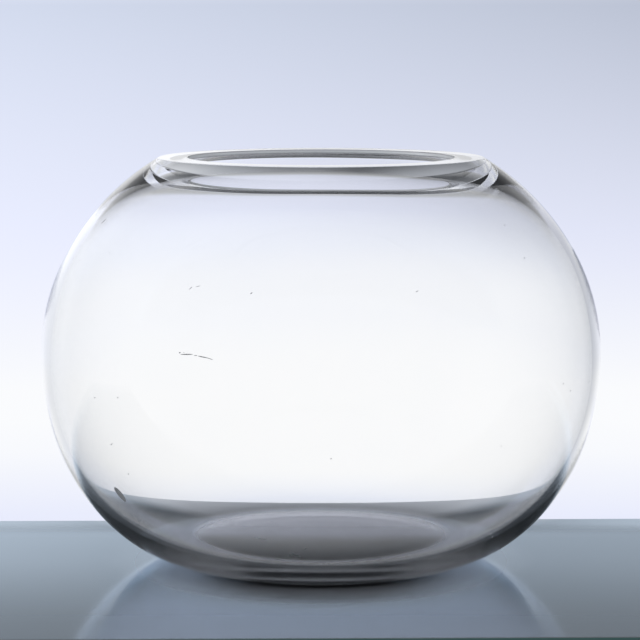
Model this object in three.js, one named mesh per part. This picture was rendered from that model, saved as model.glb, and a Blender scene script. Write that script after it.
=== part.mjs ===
// A clear glass bowl vase, blown in one piece: a round belly drawn in to a thick, flat cut rim.
// Millimetres, +Z up. The vase stands on z = 0, and the axis of the bowl is Z.
import * as THREE from 'three';

// Outside of the bowl
const BELLY_DIAMETER = 200;
const BELLY_HEIGHT = 74.6; // from the foot up to the widest point
const HEIGHT = 144.5; // from the foot up to the cut rim
const RIM_DIAMETER = 115.8; // outer edge of the cut rim
const FOOT_DIAMETER = 97; // outer edge of the ring that the vase stands on
const FOOT_GRIND = 0.47; // depth of glass ground off the round bottom to make that ring

// Inside of the bowl
const BELLY_WALL = 3.3; // glass at the widest point
const INNER_BELLY_DROP = 1.6; // how far below the outside the inside is widest
const RIM_WIDTH = 10.8; // flat face of the cut rim, from its outer edge in to the bevel
const BEVEL_WIDTH = 0.7; // bevel ground around the mouth, measured inwards
const BEVEL_HEIGHT = 1.25; // and downwards
const BASE_THICKNESS = 3.4; // glass at the centre of the base
const FLOOR_INSET = 4.2; // from the edge of the foot in to the flat of the inner floor

// Swell of the glass towards the lip, as the shape of the inner shoulder
const LIP_SLOPE = 0.53; // slope of the inside at the mouth, as a share of the slope outside
const LIP_PULL = 0.66; // share of its width that the inner shoulder keeps near that slope
const BELLY_PULL = 0.45; // share of its height that the inner shoulder keeps near upright

// Underside
const FOOT_WIDTH = 3.9; // flat ring that touches the table
const PUNT_DEPTH = 1.8; // hollow under the middle of the base

// Fineness of the facets
const ROUND_SEGMENTS = 64;
const CURVE_STEPS = 12;
const PUNT_STEPS = 4;

const bellyRadius = BELLY_DIAMETER / 2;
const rimRadius = RIM_DIAMETER / 2;
const bevelRadius = rimRadius - RIM_WIDTH;
const mouthRadius = bevelRadius - BEVEL_WIDTH;
const mouthHeight = HEIGHT - BEVEL_HEIGHT;
const footRadius = FOOT_DIAMETER / 2;
const puntRadius = footRadius - FOOT_WIDTH;
const floorRadius = footRadius - FLOOR_INSET;
const floorHeight = PUNT_DEPTH + BASE_THICKNESS;
const innerBellyRadius = bellyRadius - BELLY_WALL;
const innerBellyHeight = BELLY_HEIGHT - INNER_BELLY_DROP;

// Points along an arc of an ellipse, as (distance from the axis, height)
function arc(centreRadius, centreHeight, halfWidth, halfHeight, from, to, steps) {
  const backwards = to < from;
  const curve = new THREE.EllipseCurve(
    centreRadius, centreHeight, halfWidth, halfHeight, from, to, backwards,
  );
  return curve.getPoints(steps);
}

// Upper half outside, an ellipse about the axis, from the widest point up to the edge of the rim
const shoulderSweep = Math.acos(rimRadius / bellyRadius);
const shoulderHalfHeight = (HEIGHT - BELLY_HEIGHT) / Math.sin(shoulderSweep);
const rimSlope = shoulderHalfHeight / (bellyRadius * Math.tan(shoulderSweep));

function upperOutside() {
  return arc(0, BELLY_HEIGHT, bellyRadius, shoulderHalfHeight, 0, shoulderSweep, CURVE_STEPS);
}

// Upper half inside, a curve from upright at the widest point to a flatter slope at the mouth, so that
// the glass is thickest at the lip
function upperInside() {
  const shoulderHeight = mouthHeight - innerBellyHeight;
  const lipReach = LIP_PULL * (innerBellyRadius - mouthRadius);
  const curve = new THREE.CubicBezierCurve(
    new THREE.Vector2(mouthRadius, mouthHeight),
    new THREE.Vector2(mouthRadius + lipReach, mouthHeight - lipReach * LIP_SLOPE * rimSlope),
    new THREE.Vector2(innerBellyRadius, innerBellyHeight + BELLY_PULL * shoulderHeight),
    new THREE.Vector2(innerBellyRadius, innerBellyHeight),
  );
  return curve.getPoints(CURVE_STEPS);
}

// Lower half outside, an ellipse that would come level a little below the foot and is ground off there
function lowerOutside() {
  const halfHeight = BELLY_HEIGHT + FOOT_GRIND;
  const sweep = Math.asin(BELLY_HEIGHT / halfHeight);
  const reach = Math.cos(sweep);
  const centreRadius = (footRadius - reach * bellyRadius) / (1 - reach);
  return arc(centreRadius, BELLY_HEIGHT, bellyRadius - centreRadius, halfHeight, -sweep, 0, CURVE_STEPS);
}

// Lower half inside, a quarter ellipse from the widest point down to the flat floor
function lowerInside() {
  const halfWidth = innerBellyRadius - floorRadius;
  const halfHeight = innerBellyHeight - floorHeight;
  return arc(floorRadius, innerBellyHeight, halfWidth, halfHeight, 0, -Math.PI / 2, CURVE_STEPS);
}

// Hollow under the base, a shallow dome from the axis out to the ring that the vase stands on
function punt() {
  const domeRadius = (puntRadius ** 2 + PUNT_DEPTH ** 2) / (2 * PUNT_DEPTH);
  const edge = Math.acos(puntRadius / domeRadius);
  const centreHeight = PUNT_DEPTH - domeRadius;
  const rounded = arc(0, centreHeight, domeRadius, domeRadius, Math.PI / 2, edge, PUNT_STEPS);
  return [new THREE.Vector2(0, PUNT_DEPTH), ...rounded.slice(1)];
}

// Section of the glass: under the base, up the outside, over the rim and down the inside to the floor
function glassSection() {
  return [
    ...punt(),
    ...lowerOutside(),
    ...upperOutside().slice(1),
    new THREE.Vector2(bevelRadius, HEIGHT),
    ...upperInside(),
    ...lowerInside().slice(1),
    new THREE.Vector2(0, floorHeight),
  ];
}

const clearGlass = new THREE.MeshStandardMaterial({
  color: 0xe6ecef,
  roughness: 0.03,
  metalness: 0,
  transparent: true,
  opacity: 0.3,
});

const bowlGeometry = new THREE.LatheGeometry(glassSection(), ROUND_SEGMENTS);
bowlGeometry.rotateX(Math.PI / 2);
const glassBowl = new THREE.Mesh(bowlGeometry, clearGlass);
glassBowl.name = 'glass_bowl';

const vase = new THREE.Group();
vase.name = 'bowl_vase';
vase.add(glassBowl);

export default vase;
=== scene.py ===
"""Looks of a clear glass bowl vase: the blown bowl, the seeds trapped in its wall, and its stage."""
import math

import bpy
from bpy.props import FloatProperty, FloatVectorProperty, IntProperty, PointerProperty
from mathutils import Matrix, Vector


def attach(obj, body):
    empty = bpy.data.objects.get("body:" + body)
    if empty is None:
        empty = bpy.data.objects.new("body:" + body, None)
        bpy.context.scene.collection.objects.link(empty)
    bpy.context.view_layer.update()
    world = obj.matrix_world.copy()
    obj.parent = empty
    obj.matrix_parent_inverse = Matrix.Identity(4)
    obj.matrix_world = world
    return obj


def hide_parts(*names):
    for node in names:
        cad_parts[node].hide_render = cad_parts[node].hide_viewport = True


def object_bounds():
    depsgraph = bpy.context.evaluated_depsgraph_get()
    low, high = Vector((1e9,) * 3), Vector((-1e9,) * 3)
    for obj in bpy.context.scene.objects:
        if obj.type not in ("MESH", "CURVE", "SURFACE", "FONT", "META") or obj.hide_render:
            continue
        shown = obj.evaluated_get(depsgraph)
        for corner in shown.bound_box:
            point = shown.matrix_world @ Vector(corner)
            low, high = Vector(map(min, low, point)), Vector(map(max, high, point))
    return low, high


bl_info = {
    "name": "Glass Bowl Vase",
    "version": (1, 0, 0),
    "blender": (4, 5, 0),
    "location": "3D View > Sidebar > Vase",
    "description": "Blows a clear glass bowl vase, traps seeds in its wall and sets its stage",
    "category": "Add Mesh",
}

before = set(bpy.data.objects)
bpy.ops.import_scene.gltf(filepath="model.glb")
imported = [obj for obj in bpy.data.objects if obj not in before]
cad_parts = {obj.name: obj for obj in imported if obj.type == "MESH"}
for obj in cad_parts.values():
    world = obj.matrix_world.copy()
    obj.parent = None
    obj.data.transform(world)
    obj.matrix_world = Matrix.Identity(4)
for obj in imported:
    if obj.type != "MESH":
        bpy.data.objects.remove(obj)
cad_low, cad_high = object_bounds()

BOWL = "blown_bowl"
MERGE_DISTANCE = 1e-6

# Steps along each line of the section, and how much closer together they are at its ends
CURVE_STEPS = 160
ROUND_STEPS = 8
PUNT_STEPS = 50
FOOT_STEPS = 12
OUTSIDE_STEPS = 130
RIM_STEPS = 16
BEVEL_STEPS = 8
INSIDE_STEPS = 140
END_CROWDING = 0.85

# Unevenness of the inside: its share at the belly, and the height where it ends as a share of the lip
BELLY_RIPPLE = 0.2
RIPPLE_END = 0.99

# Sides and rings of each bubble
SEED_SIDES = 16
SEED_RINGS = 8

# Edges of the ground parts: the bevel in bevel heights under the rim,
# the ring and the painted shade on the foot in shares of the punt's radius, the hollow in shares of its
# depth
BEVEL_FADE = 1.6
BEVEL_FULL = 1.2
RING_START = 0.95
SHADE_SIDE = 0.4
HOLLOW_FADE = 1.5

# Wear of the slab's polish, and streaks, grey and roughness of its cut edge
WEAR_SCALE = 30.0
WEAR_LEAST = 0.9
WEAR_PART = 0.2
STREAK_SCALE = 40.0
EDGE_GREY = 0.3
EDGE_ROUGHNESS = 0.4

# Soft sides of the backdrop and of the panel, in degrees
BACKDROP_SIDE = (12, 42)
PANEL_RIGHT = (-40, -16)
PANEL_LEFT = (-130, -95)

# Backdrop darker on the right: across in degrees, upwards in degrees, and how much
SHADE_TURN = (-30, 30)
SHADE_RISE = (-9, 2)
SHADE_PART = 0.4

# Place of the soft lamp in metres, the camera's sensor in millimetres, and the turns of a ray of light
LAMP_PLACE = (-0.3, -0.3, 1.2)
SENSOR_WIDTH = 36
GLASS_BOUNCES = 32
GLOSS_BOUNCES = 12

# Air in the wall: turn from the front in degrees and height in metres of each end, and width in metres
BUBBLES = (
    ((-50.3, 0.0357), (-48.2, 0.0309), 0.0027),
    ((-68.2, 0.1235), (-67.1, 0.1252), 0.00055),
)
AIR_LINE = (
    ((-27.8, 0.0854), (-25.1, 0.0857), 0.00035),
    ((-24.9, 0.0854), (-24.1, 0.0854), 0.00022),
    ((-24.0, 0.0853), (-22.0, 0.0848), 0.00035),
    ((-22.4, 0.0850), (-20.8, 0.0843), 0.00022),
    ((-28.1, 0.0858), (-27.8, 0.0861), 0.00045),
    ((-27.1, 0.0861), (-27.0, 0.0861), 0.00025),
)
FINE_SEEDS = (
    ((-27.9, 0.1063), (-27.4, 0.1072), 0.00025),
    ((-26.6, 0.1072), (-25.5, 0.1077), 0.00018),
    ((-14.4, 0.1057), (-14.0, 0.1063), 0.0003),
    ((19.5, 0.1061), (20.1, 0.1065), 0.00022),
    ((-47.0, 0.0515), (-46.2, 0.0524), 0.00025),
    ((-67.7, 0.1108), (-67.4, 0.1112), 0.0003),
    ((-55.0, 0.1151), (-54.8, 0.1154), 0.0003),
    ((50.0, 0.1247), (50.6, 0.1250), 0.0003),
    ((50.6, 0.1140), (51.1, 0.1142), 0.0003),
    ((55.4, 0.0709), (55.7, 0.0712), 0.0003),
    ((68.3, 0.0687), (68.9, 0.0689), 0.0003),
    ((58.5, 0.0678), (58.9, 0.0681), 0.0003),
    ((-50.2, 0.0672), (-49.8, 0.0676), 0.0003),
    ((-43.1, 0.0686), (-42.8, 0.0690), 0.0003),
    ((-43.8, 0.0418), (-43.4, 0.0422), 0.0003),
    ((1.8, 0.0521), (2.0, 0.0524), 0.0003),
    ((38.0, 0.0528), (38.2, 0.0531), 0.0003),
    ((47.4, 0.0172), (47.5, 0.0179), 0.0005),
)


def length(name, description, default):
    """A property in metres."""
    return FloatProperty(name=name, description=description, default=default, unit="LENGTH", precision=5)


def share(name, description, default):
    """A property between 0 and 1."""
    return FloatProperty(name=name, description=description, default=default, min=0, max=1, subtype="FACTOR")


def number(name, description, default):
    """A property without a unit, from 0 up."""
    return FloatProperty(name=name, description=description, default=default, min=0)


def angle(name, description, degrees):
    """A property shown in degrees."""
    return FloatProperty(name=name, description=description, default=math.radians(degrees), subtype="ANGLE")


def colour(name, description, red, green, blue):
    """A colour property, in linear light."""
    return FloatVectorProperty(
        name=name, description=description, default=(red, green, blue), min=0, max=1, subtype="COLOR"
    )


class BowlSizes(bpy.types.PropertyGroup):
    """Sizes of the glass"""

    belly_diameter: length("Belly diameter", "Widest part of the bowl", cad_high.x - cad_low.x)
    belly_height: length("Belly height", "From the foot up to the widest part", 0.0746)
    height: length("Height", "From the foot up to the cut rim", cad_high.z)
    rim_diameter: length("Rim diameter", "Outer edge of the cut rim", 0.1158)
    foot_diameter: length("Foot diameter", "Outer edge of the ring that the vase stands on", 0.097)
    foot_grind: length("Foot grind", "Glass ground off the round bottom to make the foot", 0.00047)
    belly_wall: length("Belly wall", "Glass at the widest part", 0.0033)
    inner_belly_drop: length("Inner drop", "How far below the outside the inside is widest", 0.0016)
    rim_width: length("Rim width", "Flat face of the cut rim", 0.0108)
    bevel_width: length("Bevel width", "Bevel ground around the mouth, measured inwards", 0.0007)
    bevel_height: length("Bevel height", "Bevel ground around the mouth, measured downwards", 0.00125)
    base_thickness: length("Base thickness", "Glass at the centre of the base", 0.0034)
    floor_inset: length("Floor inset", "From the edge of the foot in to the flat inner floor", 0.0042)
    lip_slope: share("Lip slope", "Slope of the inside at the mouth, as a share of the slope outside", 0.53)
    lip_pull: share("Lip pull", "Share of its width that the inner shoulder keeps near that slope", 0.66)
    belly_pull: share("Belly pull", "Share of its height that the inner shoulder keeps upright", 0.45)
    foot_width: length("Foot width", "Flat ring that touches the table", 0.0039)
    punt_depth: length("Punt depth", "Hollow under the middle of the base", 0.0018)
    foot_round: length("Foot round", "Reach of the wear on each edge of the foot", 0.0018)
    rim_round: length("Rim round", "Reach of the polish on the outer edge of the rim", 0.0004)
    edge_round: length("Edge round", "Reach of the polish on each edge of the bevel", 0.0007)
    ripple: length("Ripple", "Unevenness of the blown inside", 0.0006)
    ripple_scale: length("Ripple scale", "Distance from one unevenness to the next", 0.055)
    seed_depth: length("Seed depth", "Greatest thickness of a bubble across the wall", 0.0007)
    sides: IntProperty(name="Sides", description="Steps around the axis", default=224, min=32, max=256)


class GlassFinish(bpy.types.PropertyGroup):
    """Finish of the clear glass"""

    tint: colour("Tint", "Colour of the polished surface", 0.985, 0.99, 0.995)
    depth_colour: colour("Depth colour", "Colour that deep glass takes on", 0.82, 0.86, 0.88)
    depth: number("Depth", "Strength of that colour, per metre", 2.0)
    bend: number("Bend", "Refractive index of the glass", 1.52)
    polish: share("Polish", "Greatest roughness of the polished surface", 0.012)
    grind: share("Grind", "Roughness of the ground bevel and underside", 0.6)
    # Painted shade: a dark colour put on the lowest part of the foot at its front, where the glass lies in
    # shade
    foot_shade: colour("Foot shade", "Colour worn into the ground foot", 0.03, 0.032, 0.036)
    mirror: share("Mirror", "Strength of the reflection seen straight on", 0.35)
    bevel_grind: number("Bevel grind", "Grinding of the bevel, against that of the underside", 2.0)
    heel_grind: number("Heel grind", "Grinding of the heel, against that of the underside", 0.6)
    least_grind: share("Least grind", "Share of that roughness where it is least", 0.35)
    most_grind: share("Most grind", "Share of that roughness where it is most", 0.65)
    # Heights of that painted shade on the foot
    shade_low: length("Shading low", "Height over the table up to which the foot is soiled", 0.0004)
    shade_high: length("Shading high", "Height over the table where the darkening ends", 0.0018)
    heel_low: length("Heel low", "Height over the table up to which the heel is ground", 0.002)
    heel_high: length("Heel high", "Height over the table where the ground heel ends", 0.005)
    wave: share("Wave", "Strength of the waves in the blown surface", 0.02)
    wave_depth: length("Wave depth", "Depth of those waves", 0.001)
    wave_scale: number("Wave scale", "Waves to the metre", 22.0)
    handling_scale: number("Handling scale", "Marks of handling to the metre", 60.0)


class StageSizes(bpy.types.PropertyGroup):
    """Floor, light and camera"""

    floor_back: length("Floor back", "From the axis of the vase to the far edge of the floor", 0.066)
    floor_front: length("Floor front", "From the axis of the vase to the near edge of the floor", 0.1235)
    floor_side: length("Floor side", "From the axis of the vase to each side of the floor", 0.5)
    floor_thickness: length("Floor thickness", "Thickness of the slab", 0.006)
    floor_gap: length("Floor gap", "Air under the foot", 0.0002)
    floor_turn: angle("Floor turn", "How far the slab is turned about the axis of the vase", 1.04)
    floor_colour: colour("Floor colour", "Body of the slab", 0.11, 0.12, 0.13)
    # Painted shadow: the slab's colour is darker under the bowl
    floor_shade: colour("Floor shade", "Body of the slab in the dark under the bowl", 0.05, 0.053, 0.058)
    # Painted light: the slab is paler towards its far edge, as if lit from behind through it
    floor_far: colour("Floor far", "Body of the slab near its far edge, lit from behind", 0.51, 0.59, 0.67)
    # Painted light: a pale patch on the slab behind the bowl, where the bowl gathers light
    floor_fan: colour("Floor fan", "Slab where the bowl gathers light behind it", 0.92, 0.95, 1.0)
    floor_gloss: colour("Floor gloss", "Colour of what the polish mirrors", 0.71, 0.85, 1.0)
    floor_bend: number("Floor bend", "Refractive index of the polish", 1.5)
    floor_shine: number("Floor shine", "Strength of the mirror", 1.6)
    near_dim: share("Near dim", "How much weaker the mirror is at the near edge", 0.42)
    far_start: share("Far start", "Share of the way to the far edge where the slab pales", 0.55)
    far_full: share("Far full", "Share of the way to the far edge where the slab is palest", 0.9)
    fan_full: share("Fan full", "Share of the way to the far edge where the gathered light is full", 0.7)
    fan_fade: length("Fan fade", "Soft side of the gathered light", 0.03)
    shade_start: length("Shade start", "Distance from the axis where the dark under the bowl thins", 0.044)
    shade_end: length("Shade end", "Distance from the axis where it is gone", 0.054)
    # Painted light: a pale ring on the slab around the foot, lightening the shade there
    ring_start: length("Ring start", "Distance from the axis where the pale ring thins", 0.06)
    ring_end: length("Ring end", "Distance from the axis where the pale ring is gone", 0.08)
    ring_part: share("Ring part", "Strength of the pale ring around the foot", 0.3)
    floor_polish: share("Floor polish", "Roughness of the slab", 0.1)
    cut_edge: colour("Cut edge", "Colour of the slab's edges", 0.01, 0.062, 0.054)
    glow: colour("Glow", "Brightest part of the backdrop", 0.96, 0.97, 0.99)
    clear: colour("Clear", "Backdrop low down", 0.95, 0.97, 1.0)
    haze: colour("Haze", "Backdrop above and below the glow", 0.80, 0.83, 0.98)
    horizon: colour("Horizon", "Backdrop level with the camera", 0.58, 0.63, 0.76)
    white: colour("White", "Brightest part of the backdrop through the glass", 1.0, 1.0, 1.0)
    lilac: colour("Lilac", "Backdrop below and above that, through the glass", 0.88, 0.91, 1.0)
    dusk: colour("Dusk", "Backdrop high up, through the glass", 0.78, 0.81, 0.95)
    room: colour("Room", "Studio around the stage", 0.44, 0.46, 0.5)
    panel: colour("Panel", "Bright panel on the left", 0.8, 0.82, 0.86)
    ceiling: colour("Ceiling", "Dark ceiling behind the backdrop", 0.034, 0.036, 0.04)
    plain_light: colour("Plain light", "Light of the studio on matt surfaces", 0.8, 0.82, 0.86)
    lamp_energy: number("Lamp", "Soft lamp over the stage, in watts", 4)
    lamp_size: length("Lamp size", "Side of the soft lamp", 1.0)
    lens: number("Lens", "Focal length in millimetres", 144.96)
    camera_side: length("Camera side", "From the axis of the vase to the right", -0.00036)
    camera_distance: length("Camera distance", "From the axis of the vase back to the camera", 0.918)
    camera_height: length("Camera height", "Height of the camera over the floor", 0.198)
    camera_tilt: angle("Camera tilt", "How far the camera looks down", 6.96)


class Wire:
    """An output in a node tree. Sums on wires add Math nodes, and add() adds any other node."""

    def __init__(self, tree, socket=None):
        self.tree = tree
        self.socket = socket

    def add(self, kind, settings=None, sockets=None, output=0):
        """A new node, with its settings first and then the values or wires of its sockets."""
        node = self.tree.nodes.new(kind)
        for name, value in (settings or {}).items():
            if name == "stops":
                set_stops(node.color_ramp, value)
            else:
                setattr(node, name, value)
        for key, value in (sockets or {}).items():
            if isinstance(value, Wire):
                self.tree.links.new(value.socket, node.inputs[key])
            else:
                node.inputs[key].default_value = value
        return Wire(self.tree, node.outputs[output] if node.outputs else None)

    def pick(self, output):
        """Another output of the same node."""
        return Wire(self.tree, self.socket.node.outputs[output])

    def maths(self, operation, first, second=0.0):
        return self.add("ShaderNodeMath", {"operation": operation}, {0: first, 1: second})

    def __add__(self, other):
        return self.maths("ADD", self, other)

    __radd__ = __add__

    def __mul__(self, other):
        return self.maths("MULTIPLY", self, other)

    __rmul__ = __mul__

    def __sub__(self, other):
        return self.maths("SUBTRACT", self, other)

    def __rsub__(self, other):
        return self.maths("SUBTRACT", other, self)

    def __truediv__(self, other):
        return self.maths("DIVIDE", self, other)

    def between(self, low, high):
        """0 at low and below, 1 at high and above, with a smooth rise between."""
        return self.add(
            "ShaderNodeMapRange",
            {"interpolation_type": "SMOOTHSTEP"},
            {"Value": self, "From Min": low, "From Max": high},
        )


def set_stops(ramp, stops):
    """Gives a colour ramp its stops, each a place from 0 to 1 and a colour."""
    for place, tone in stops[1:-1]:
        ramp.elements.new(place).color = (*tone, 1)
    ramp.elements[0].position = stops[0][0]
    ramp.elements[0].color = (*stops[0][1], 1)
    ramp.elements[-1].position = stops[-1][0]
    ramp.elements[-1].color = (*stops[-1][1], 1)


def new_tree(owner):
    """The empty node tree of a material or world."""
    owner.use_nodes = True
    owner.node_tree.nodes.clear()
    return Wire(owner.node_tree)


def ellipse(centre_radius, centre_height, half_width, half_height, start, end, steps=CURVE_STEPS):
    """Points along an arc of an ellipse, as (distance from the axis, height)."""
    turns = [start + (end - start) * step / steps for step in range(steps + 1)]
    return [
        Vector((centre_radius + half_width * math.cos(turn), centre_height + half_height * math.sin(turn)))
        for turn in turns
    ]


def bend(start, pull_start, pull_end, end, steps=CURVE_STEPS):
    """Points along a curve from start to end, drawn towards the two pulls."""
    points = []
    for step in range(steps + 1):
        late = step / steps
        early = 1 - late
        near_start = start * early**3 + pull_start * 3 * late * early**2
        near_end = pull_end * 3 * late**2 * early + end * late**3
        points.append(near_start + near_end)
    return points


def outer_wall(sizes):
    """Outside of the glass, from the foot up to the rim."""
    belly = sizes.belly_diameter / 2
    foot = sizes.foot_diameter / 2
    rim = sizes.rim_diameter / 2
    half_height = sizes.belly_height + sizes.foot_grind
    sweep = math.asin(sizes.belly_height / half_height)
    reach = math.cos(sweep)
    centre = (foot - reach * belly) / (1 - reach)
    lower = ellipse(centre, sizes.belly_height, belly - centre, half_height, -sweep, 0)
    sweep = math.acos(rim / belly)
    half_height = (sizes.height - sizes.belly_height) / math.sin(sweep)
    upper = ellipse(0, sizes.belly_height, belly, half_height, 0, sweep)
    return lower + upper[1:]


def inner_wall(sizes):
    """Inside of the glass, from the mouth down to the middle of the floor."""
    belly = sizes.belly_diameter / 2
    rim = sizes.rim_diameter / 2
    sweep = math.acos(rim / belly)
    rim_slope = (sizes.height - sizes.belly_height) / math.sin(sweep) / (belly * math.tan(sweep))
    widest = Vector((belly - sizes.belly_wall, sizes.belly_height - sizes.inner_belly_drop))
    mouth = Vector((rim - sizes.rim_width - sizes.bevel_width, sizes.height - sizes.bevel_height))
    lip_reach = sizes.lip_pull * (widest.x - mouth.x)
    lip_pull = mouth + Vector((lip_reach, -lip_reach * sizes.lip_slope * rim_slope))
    belly_pull = widest + Vector((0, sizes.belly_pull * (mouth.y - widest.y)))
    upper = bend(mouth, lip_pull, belly_pull, widest)
    floor_radius = sizes.foot_diameter / 2 - sizes.floor_inset
    floor_height = sizes.punt_depth + sizes.base_thickness
    lower = ellipse(
        floor_radius, widest.y, widest.x - floor_radius, widest.y - floor_height, 0, -math.pi / 2
    )
    return upper + lower[1:] + [Vector((0, floor_height))]


def spaced(points, count):
    """The same line with count steps, close together at its ends and wider apart between."""
    ends = [0.0]
    for before, after in zip(points, points[1:]):
        ends.append(ends[-1] + (after - before).length)
    result = []
    piece = 0
    for step in range(count + 1):
        along = step / count
        target = ends[-1] * (along - END_CROWDING * math.sin(math.tau * along) / math.tau)
        while piece < len(points) - 2 and ends[piece + 1] < target:
            piece += 1
        part = (target - ends[piece]) / (ends[piece + 1] - ends[piece])
        result.append(points[piece].lerp(points[piece + 1], min(part, 1)))
    return result


def trimmed(points, reach):
    """A line with reach cut off at its start."""
    points = list(points)
    while (points[1] - points[0]).length < reach:
        reach -= (points[1] - points[0]).length
        points.pop(0)
    points[0] = points[0].lerp(points[1], reach / (points[1] - points[0]).length)
    return points


def joined(lines, reaches, steps=ROUND_STEPS):
    """Lines that meet at corners, as one line with each corner rounded over its reach."""
    result = lines[0]
    for line, reach in zip(lines[1:], reaches):
        corner = line[0]
        start = trimmed(result[::-1], reach)[::-1]
        end = trimmed(line, reach)
        round_off = []
        for step in range(1, steps):
            late = step / steps
            round_off.append(start[-1] * (1 - late) ** 2 + corner * 2 * late * (1 - late) + end[0] * late**2)
        result = start + round_off + end
    return result


def glass_section(sizes):
    """Section of the glass: under the base, up the outside, over the rim and down the inside."""
    foot = sizes.foot_diameter / 2
    punt_radius = foot - sizes.foot_width
    dome = (punt_radius**2 + sizes.punt_depth**2) / (2 * sizes.punt_depth)
    dome_edge = math.acos(punt_radius / dome)
    punt = ellipse(0, sizes.punt_depth - dome, dome, dome, math.pi / 2, dome_edge)
    punt[0].x = 0
    outside = outer_wall(sizes)
    inside = inner_wall(sizes)
    bevel_top = Vector((sizes.rim_diameter / 2 - sizes.rim_width, sizes.height))
    lines = [
        spaced(punt, PUNT_STEPS),
        spaced([punt[-1], outside[0]], FOOT_STEPS),
        spaced(outside, OUTSIDE_STEPS),
        spaced([outside[-1], bevel_top], RIM_STEPS),
        spaced([bevel_top, inside[0]], BEVEL_STEPS),
        spaced(inside, INSIDE_STEPS),
    ]
    return joined(lines, [sizes.foot_round] * 2 + [sizes.rim_round] + [sizes.edge_round] * 2)


def deselect():
    """Leaves edit mode with nothing selected."""
    if bpy.context.object and bpy.context.object.mode != "OBJECT":
        bpy.ops.object.mode_set(mode="OBJECT")
    bpy.ops.object.select_all(action="DESELECT")


def clear_glass(finish, sizes):
    """Polished, blown glass with a faint depth colour, rougher where the bevel and the foot are ground. The
    front of the foot holds painted shade, and the bevel painted light.
    """
    material = bpy.data.materials.new("clear_blown_glass")
    glass = new_tree(material)
    place = glass.add("ShaderNodeTexCoord", output="Object")
    waves = glass.add(
        "ShaderNodeTexNoise", None, {"Vector": place, "Scale": finish.wave_scale, "Detail": 1.0}
    )
    handling = glass.add(
        "ShaderNodeTexNoise", None, {"Vector": place, "Scale": finish.handling_scale, "Detail": 4.0}
    )
    axes = glass.add("ShaderNodeSeparateXYZ", None, {0: place})
    above = axes.pick("Z")
    flat = glass.add("ShaderNodeVectorMath", {"operation": "MULTIPLY"}, {0: place, 1: (1, 1, 0)})
    out = glass.add("ShaderNodeVectorMath", {"operation": "LENGTH"}, {0: flat}, output="Value")
    lip = sizes.rim_diameter / 2 - sizes.rim_width
    bevel_low = sizes.height - sizes.bevel_height * BEVEL_FADE
    bevel_high = sizes.height - sizes.bevel_height * BEVEL_FULL
    bevel = above.between(bevel_low, bevel_high) * (1 - out.between(lip, lip + sizes.bevel_width))
    foot = sizes.foot_diameter / 2
    punt = foot - sizes.foot_width
    aside = glass.maths("ABSOLUTE", axes.pick("X"))
    # Painted shade: the lowest part of the foot ring and heel, at the front and away from the sides, takes
    # the dark colour and is made metallic, so that it looks dark
    ring = (1 - above.between(finish.shade_low, finish.shade_high)) * out.between(punt * RING_START, punt)
    front = 1 - axes.pick("Y").between(-punt / 2, punt / 2)
    painted = ring * front * (1 - aside.between(punt * SHADE_SIDE, punt))
    heel = (1 - above.between(finish.heel_low, finish.heel_high)) * out.between(punt, foot)
    hollow = 1 - above.between(sizes.punt_depth, sizes.punt_depth * HOLLOW_FADE)
    under = hollow * (1 - out.between(punt, foot))
    ground = bevel * finish.bevel_grind + under + heel * finish.heel_grind
    uneven = handling * (finish.most_grind - finish.least_grind) + finish.least_grind
    relief = glass.add(
        "ShaderNodeBump",
        None,
        {"Height": waves, "Strength": finish.wave, "Distance": finish.wave_depth},
    )
    paler = glass.add(
        "ShaderNodeMix",
        {"data_type": "RGBA"},
        {"Factor": handling, "A": (*finish.tint, 1), "B": (1, 1, 1, 1)},
        output=2,
    )
    shaded = glass.add(
        "ShaderNodeMix",
        {"data_type": "RGBA"},
        {"Factor": painted, "A": paler, "B": (*finish.foot_shade, 1)},
        output=2,
    )
    surface = glass.add(
        "ShaderNodeBsdfPrincipled",
        None,
        {
            "Base Color": shaded,
            # Metallic: the painted shade on the foot becomes a dark mirror, and the bevel mirrors the room
            # as a pale band, painted light standing in for the light that ground glass scatters
            "Metallic": painted + bevel,
            "Roughness": handling * finish.polish + ground * finish.grind * uneven,
            "IOR": finish.bend,
            "Specular Tint": (finish.mirror, finish.mirror, finish.mirror, 1),
            "Transmission Weight": 1.0,
            "Normal": relief,
        },
    )
    depth = glass.add(
        "ShaderNodeVolumeAbsorption", None, {"Color": (*finish.depth_colour, 1), "Density": finish.depth}
    )
    glass.add("ShaderNodeOutputMaterial", None, {"Surface": surface, "Volume": depth})
    return material


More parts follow.
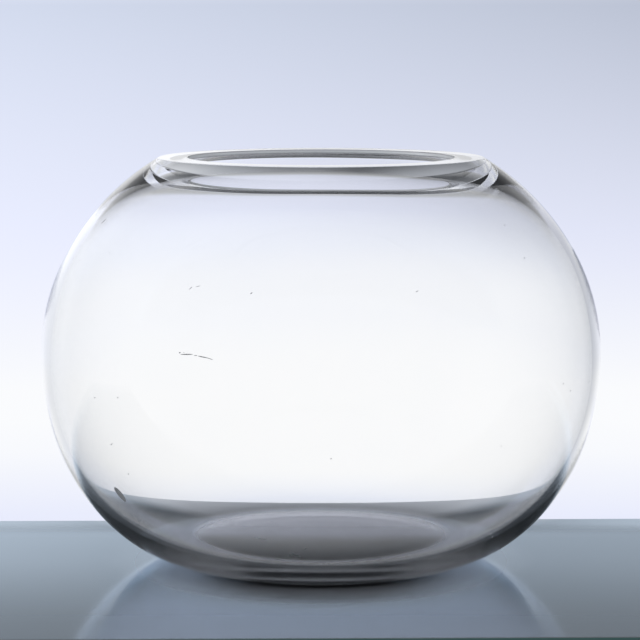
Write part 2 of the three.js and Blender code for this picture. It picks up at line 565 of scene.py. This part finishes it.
class VASE_OT_blow_bowl(bpy.types.Operator):
    """Spin the section of the glass into the bowl, and ripple its inside as blowing does"""

    bl_idname = "vase.blow_bowl"
    bl_label = "Blow Bowl"

    def execute(self, context):
        sizes = context.scene.bowl_sizes
        section = glass_section(sizes)
        deselect()
        bpy.ops.mesh.primitive_plane_add(size=sizes.foot_width)
        bowl = context.object
        bowl.name = BOWL
        bpy.ops.object.mode_set(mode="EDIT")
        bpy.ops.mesh.merge(type="CENTER")
        bpy.ops.transform.translate(value=(section[0].x, 0, section[0].y))
        for before, after in zip(section, section[1:]):
            step = (after.x - before.x, 0, after.y - before.y)
            bpy.ops.mesh.extrude_region_move(TRANSFORM_OT_translate={"value": step})
        bpy.ops.mesh.select_all(action="SELECT")
        bpy.ops.mesh.spin(steps=sizes.sides, angle=math.tau, center=(0, 0, 0), axis=(0, 0, 1))
        bpy.ops.mesh.select_all(action="SELECT")
        bpy.ops.mesh.remove_doubles(threshold=MERGE_DISTANCE)
        bpy.ops.mesh.normals_make_consistent(inside=False)
        bpy.ops.object.mode_set(mode="OBJECT")
        bpy.ops.object.shade_smooth()
        uneven = bowl.vertex_groups.new(name="inside")
        centre = Vector((0, 0, sizes.belly_height))
        shoulder = sizes.height - sizes.bevel_height - sizes.belly_height
        for vertex in bowl.data.vertices:
            faces_in = vertex.normal.dot(centre - vertex.co) > 0
            lip = (vertex.co.z - sizes.belly_height) / shoulder
            if faces_in and lip < RIPPLE_END:
                weight = BELLY_RIPPLE + (1 - BELLY_RIPPLE) * max(lip, 0) ** 2
                uneven.add([vertex.index], weight, "REPLACE")
        bpy.ops.object.modifier_add(type="DISPLACE")
        ripples = bowl.modifiers[-1]
        ripples.texture = bpy.data.textures.new("ripples", "CLOUDS")
        ripples.texture.noise_scale = sizes.ripple_scale
        ripples.texture.noise_depth = 0
        ripples.strength = sizes.ripple
        ripples.vertex_group = uneven.name
        bpy.ops.object.modifier_apply(modifier=ripples.name)
        bowl.data.materials.append(clear_glass(context.scene.glass_finish, sizes))
        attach(bowl, "root")
        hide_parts("glass_bowl")
        return {"FINISHED"}


def in_wall(outside, turn, height, depth):
    """A place in the glass, by its turn from the front, its height and its depth under the outside."""
    for low, high in zip(outside, outside[1:]):
        if low.y <= height <= high.y:
            edge = low.lerp(high, (height - low.y) / (high.y - low.y))
            inwards = Vector((low.y - high.y, high.x - low.x)).normalized()
            spot = edge + inwards * depth
            turned = math.radians(turn)
            return Vector((spot.x * math.sin(turned), -spot.x * math.cos(turned), spot.y))
    raise ValueError("no glass at that height")


class VASE_OT_trap_seeds(bpy.types.Operator):
    """Trap small bubbles and lines of air in the wall of the bowl"""

    bl_idname = "vase.trap_seeds"
    bl_label = "Trap Seeds"

    def execute(self, context):
        sizes = context.scene.bowl_sizes
        outside = outer_wall(sizes)
        depth = sizes.belly_wall / 2
        deselect()
        seeds = []
        for start, end, width in BUBBLES + AIR_LINE + FINE_SEEDS:
            first = in_wall(outside, *start, depth)
            last = in_wall(outside, *end, depth)
            bpy.ops.mesh.primitive_uv_sphere_add(
                segments=SEED_SIDES,
                ring_count=SEED_RINGS,
                radius=0.5,
                location=(first + last) / 2,
                rotation=(last - first).to_track_quat("Z", "Y").to_euler(),
                scale=(min(width, sizes.seed_depth), width, max(width, (last - first).length)),
            )
            bpy.ops.object.mode_set(mode="EDIT")
            bpy.ops.mesh.flip_normals()
            bpy.ops.object.mode_set(mode="OBJECT")
            bpy.ops.object.shade_smooth()
            seeds.append(context.object)
        deselect()
        for seed in seeds:
            seed.select_set(True)
        bowl = bpy.data.objects[BOWL]
        bowl.select_set(True)
        context.view_layer.objects.active = bowl
        bpy.ops.object.join()
        return {"FINISHED"}


def polished_slab(stage):
    """Slab whose polish mirrors the backdrop, most of all at a low angle. Its colour holds a painted shadow
    under the bowl and painted light at its far edge, behind the bowl and in a ring around the foot.
    """
    material = bpy.data.materials.new("polished_slab")
    slab = new_tree(material)
    place = slab.add("ShaderNodeTexCoord", output="Object")
    wear = slab.add("ShaderNodeTexNoise", None, {"Vector": place, "Scale": WEAR_SCALE, "Detail": 3.0})
    axes = slab.add("ShaderNodeSeparateXYZ", None, {0: place})
    along = axes.pick("Y")
    across = slab.maths("ABSOLUTE", axes.pick("X"))
    # Painted light towards the far edge, where the mirror is turned off
    far = along.between(stage.floor_back * stage.far_start, stage.floor_back * stage.far_full)
    near = 1 - along.between(-stage.floor_front, 0)
    flat = slab.add("ShaderNodeVectorMath", {"operation": "MULTIPLY"}, {0: place, 1: (1, 1, 0)})
    out = slab.add("ShaderNodeVectorMath", {"operation": "LENGTH"}, {0: flat}, output="Value")
    clear_of_foot = out.between(stage.shade_start, stage.shade_end)
    # Painted light: the pale patch behind the bowl, away from the foot
    behind = along.between(0, stage.floor_back * stage.fan_full)
    fan = (1 - (across - along).between(0, stage.fan_fade)) * clear_of_foot * behind
    # Painted light: the pale ring around the foot
    ring = clear_of_foot * (1 - out.between(stage.ring_start, stage.ring_end)) * stage.ring_part

    def mixed(first, second, part):
        """One colour over another."""
        sockets = {"Factor": part, "A": first, "B": second}
        return slab.add("ShaderNodeMix", {"data_type": "RGBA"}, sockets, output=2)

    # Painted shadow: the darker colour under the bowl
    tone = mixed((*stage.floor_shade, 1), (*stage.floor_colour, 1), clear_of_foot)
    # Painted light: the paler colour towards the far edge
    tone = mixed(tone, (*stage.floor_far, 1), far)
    # Painted light: the pale patch behind the bowl and the pale ring around the foot
    tone = mixed(tone, (*stage.floor_fan, 1), slab.maths("MAXIMUM", fan, ring))
    body = slab.add("ShaderNodeBsdfDiffuse", None, {"Color": tone})
    dulled = stage.floor_polish * (WEAR_LEAST + wear * WEAR_PART)
    mirror = slab.add("ShaderNodeBsdfGlossy", None, {"Color": (*stage.floor_gloss, 1), "Roughness": dulled})
    shine = slab.add("ShaderNodeFresnel", None, {"IOR": stage.floor_bend}) * stage.floor_shine
    shine = shine * (1 - slab.maths("MAXIMUM", far, fan)) * (1 - near * stage.near_dim)
    surface = slab.add("ShaderNodeMixShader", None, {0: shine, 1: body, 2: mirror})
    slab.add("ShaderNodeOutputMaterial", None, {"Surface": surface})
    return material


def slab_edge(stage):
    """Cut edge of the slab, deep in colour."""
    material = bpy.data.materials.new("slab_edge")
    edge = new_tree(material)
    place = edge.add("ShaderNodeTexCoord", output="Object")
    streaks = edge.add("ShaderNodeTexNoise", None, {"Vector": place, "Scale": STREAK_SCALE, "Detail": 2.0})
    greyer = blend(stage.cut_edge, stage.floor_colour, EDGE_GREY)
    tone = edge.add(
        "ShaderNodeMix",
        {"data_type": "RGBA"},
        {"Factor": streaks, "A": (*stage.cut_edge, 1), "B": (*greyer, 1)},
        output=2,
    )
    surface = edge.add("ShaderNodeBsdfPrincipled", None, {"Base Color": tone, "Roughness": EDGE_ROUGHNESS})
    edge.add("ShaderNodeOutputMaterial", None, {"Surface": surface})
    return material


def blend(first, second, part):
    """A colour part of the way from the first to the second."""
    return tuple(a + (b - a) * part for a, b in zip(first, second))


def studio_world(stage):
    """Backdrop that glows low down, a dark ceiling, a bright panel on the left and a dim room around."""
    world = bpy.data.worlds.new("studio")
    sky = new_tree(world)
    axes = sky.add("ShaderNodeSeparateXYZ", None, {0: sky.add("ShaderNodeTexCoord", output="Generated")})
    turn = sky.maths("ARCTAN2", axes.pick("X"), axes.pick("Y")) * (180 / math.pi)
    rise = sky.maths("ARCSINE", axes.pick("Z")) * (180 / math.pi)
    level = (rise + 90) / 180
    glow, clear, haze = tuple(stage.glow), tuple(stage.clear), tuple(stage.haze)
    horizon, white = tuple(stage.horizon), tuple(stage.white)
    lilac, dusk = tuple(stage.lilac), tuple(stage.dusk)
    room, panel, ceiling = tuple(stage.room), tuple(stage.panel), tuple(stage.ceiling)
    overhead = blend(room, ceiling, 0.4)

    def ramp(*stops):
        """Colour by the angle above the horizon, in degrees."""
        places = [((degrees + 90) / 180, tone) for degrees, tone in stops]
        return sky.add("ShaderNodeValToRGB", {"stops": places}, {0: level})

    def mixed(first, second, part, kind="MIX"):
        """One colour over another."""
        settings = {"data_type": "RGBA", "blend_type": kind}
        return sky.add("ShaderNodeMix", settings, {"Factor": part, "A": first, "B": second}, output=2)

    behind = ramp(
        (-90, room),
        (-45, room),
        (-28, clear),
        (-13, clear),
        (-11.4, haze),
        (-9.6, glow),
        (-8.5, glow),
        (-5.2, haze),
        (0, horizon),
        (2, glow),
        (11, glow),
        (14, blend(glow, ceiling, 0.56)),
        (18, blend(glow, ceiling, 0.77)),
        (22, ceiling),
        (45, ceiling),
        (90, overhead),
    )
    through = ramp(
        (-90, room),
        (-45, room),
        (-26, lilac),
        (-19, lilac),
        (-13.5, white),
        (-8, white),
        (-4, blend(white, lilac, 0.9)),
        (0, blend(lilac, dusk, 0.4)),
        (5, dusk),
        (12, dusk),
        (14, blend(glow, ceiling, 0.5)),
        (18, blend(glow, ceiling, 0.75)),
        (22, ceiling),
        (45, ceiling),
        (64, blend(room, ceiling, 0.55)),
        (90, overhead),
    )
    around = ramp((-90, room), (20, room), (90, overhead))
    left = ramp((-90, room), (-35, room), (-20, panel), (25, panel), (50, room), (90, overhead))
    rear = 1 - sky.maths("ABSOLUTE", turn).between(*BACKDROP_SIDE)
    beside = (1 - turn.between(*PANEL_RIGHT)) * turn.between(*PANEL_LEFT)
    rays = sky.add("ShaderNodeLightPath", output="Is Camera Ray")
    bent = rays.pick("Is Transmission Ray")
    seen = mixed(mixed(around, left, beside), mixed(behind, through, bent), rear)
    slope = turn.between(*SHADE_TURN) * 2 - 1
    shade = 1 - rise.between(*SHADE_RISE) * rear * slope * SHADE_PART
    grey = sky.add("ShaderNodeCombineXYZ", None, {0: shade, 1: shade, 2: shade})
    seen = mixed(seen, grey, 1.0, "MULTIPLY")
    sharp = sky.maths("MAXIMUM", rays, rays.pick("Is Glossy Ray"))
    sharp = sky.maths("MAXIMUM", sharp, bent)
    plain = sky.add("ShaderNodeBackground", None, {"Color": (*stage.plain_light, 1), "Strength": 1.0})
    shown = sky.add("ShaderNodeBackground", None, {"Color": seen, "Strength": 1.0})
    light = sky.add("ShaderNodeMixShader", None, {0: sharp, 1: plain, 2: shown})
    sky.add("ShaderNodeOutputWorld", None, {"Surface": light})
    return world


class VASE_OT_set_stage(bpy.types.Operator):
    """Lay the slab, and set the backdrop, the soft lamp and the camera"""

    bl_idname = "vase.set_stage"
    bl_label = "Set Stage"

    def execute(self, context):
        stage = context.scene.stage_sizes
        deselect()
        bpy.ops.mesh.primitive_cube_add(size=1)
        slab = context.object
        slab.name = "slab"
        bpy.ops.object.mode_set(mode="EDIT")
        deep = stage.floor_back + stage.floor_front
        bpy.ops.transform.resize(value=(stage.floor_side * 2, deep, stage.floor_thickness))
        middle = (stage.floor_back - stage.floor_front) / 2
        bpy.ops.transform.translate(value=(0, middle, -stage.floor_thickness / 2 - stage.floor_gap))
        bpy.ops.transform.rotate(value=-stage.floor_turn, orient_axis="Z", center_override=(0, 0, 0))
        bpy.ops.mesh.select_all(action="SELECT")
        bpy.ops.mesh.bevel(offset=stage.floor_thickness / 10, segments=2, affect="EDGES")
        bpy.ops.mesh.select_mode(type="FACE")
        bpy.ops.mesh.select_all(action="DESELECT")
        bpy.ops.object.mode_set(mode="OBJECT")
        slab.data.materials.append(polished_slab(stage))
        slab.data.materials.append(slab_edge(stage))
        for face in slab.data.polygons:
            face.select = abs(face.normal.z) < 0.5
        bpy.ops.object.mode_set(mode="EDIT")
        slab.active_material_index = 1
        bpy.ops.object.material_slot_assign()
        bpy.ops.object.mode_set(mode="OBJECT")
        bpy.ops.object.light_add(type="AREA", location=LAMP_PLACE)
        lamp = context.object
        lamp.name = "soft_lamp"
        lamp.data.size = stage.lamp_size
        lamp.data.energy = stage.lamp_energy
        lamp.visible_glossy = False
        lamp.visible_transmission = False
        lamp.rotation_euler = (-lamp.location).to_track_quat("-Z", "Y").to_euler()
        context.scene.world = studio_world(stage)
        bpy.ops.object.camera_add(
            location=(stage.camera_side, -stage.camera_distance, stage.camera_height),
            rotation=(math.pi / 2 - stage.camera_tilt, 0, 0),
        )
        camera = context.object
        camera.name = "camera"
        camera.data.lens = stage.lens
        camera.data.sensor_width = SENSOR_WIDTH
        context.scene.camera = camera
        context.scene.view_settings.view_transform = "Standard"
        context.scene.cycles.max_bounces = GLASS_BOUNCES
        context.scene.cycles.transmission_bounces = GLASS_BOUNCES
        context.scene.cycles.glossy_bounces = GLOSS_BOUNCES
        return {"FINISHED"}


class VASE_PT_panel(bpy.types.Panel):
    """Steps and sizes of the vase"""

    bl_idname = "VASE_PT_panel"
    bl_label = "Glass Bowl Vase"
    bl_space_type = "VIEW_3D"
    bl_region_type = "UI"
    bl_category = "Vase"

    def draw(self, context):
        for operator in OPERATORS:
            self.layout.operator(operator.bl_idname)
        for name in GROUPS:
            group = getattr(context.scene, name)
            column = self.layout.column(align=True)
            for size in group.__annotations__:
                column.prop(group, size)


OPERATORS = (VASE_OT_blow_bowl, VASE_OT_trap_seeds, VASE_OT_set_stage)
GROUPS = {"bowl_sizes": BowlSizes, "glass_finish": GlassFinish, "stage_sizes": StageSizes}


def register():
    for group in GROUPS.values():
        bpy.utils.register_class(group)
    for name, group in GROUPS.items():
        setattr(bpy.types.Scene, name, PointerProperty(type=group))
    for operator in OPERATORS:
        bpy.utils.register_class(operator)
    bpy.utils.register_class(VASE_PT_panel)


def unregister():
    bpy.utils.unregister_class(VASE_PT_panel)
    for operator in reversed(OPERATORS):
        bpy.utils.unregister_class(operator)
    for name, group in reversed(GROUPS.items()):
        delattr(bpy.types.Scene, name)
        bpy.utils.unregister_class(group)


def main():
    register()
    bpy.ops.vase.blow_bowl()
    bpy.ops.vase.trap_seeds()
    bpy.ops.vase.set_stage()


if __name__ == "__main__":
    main()
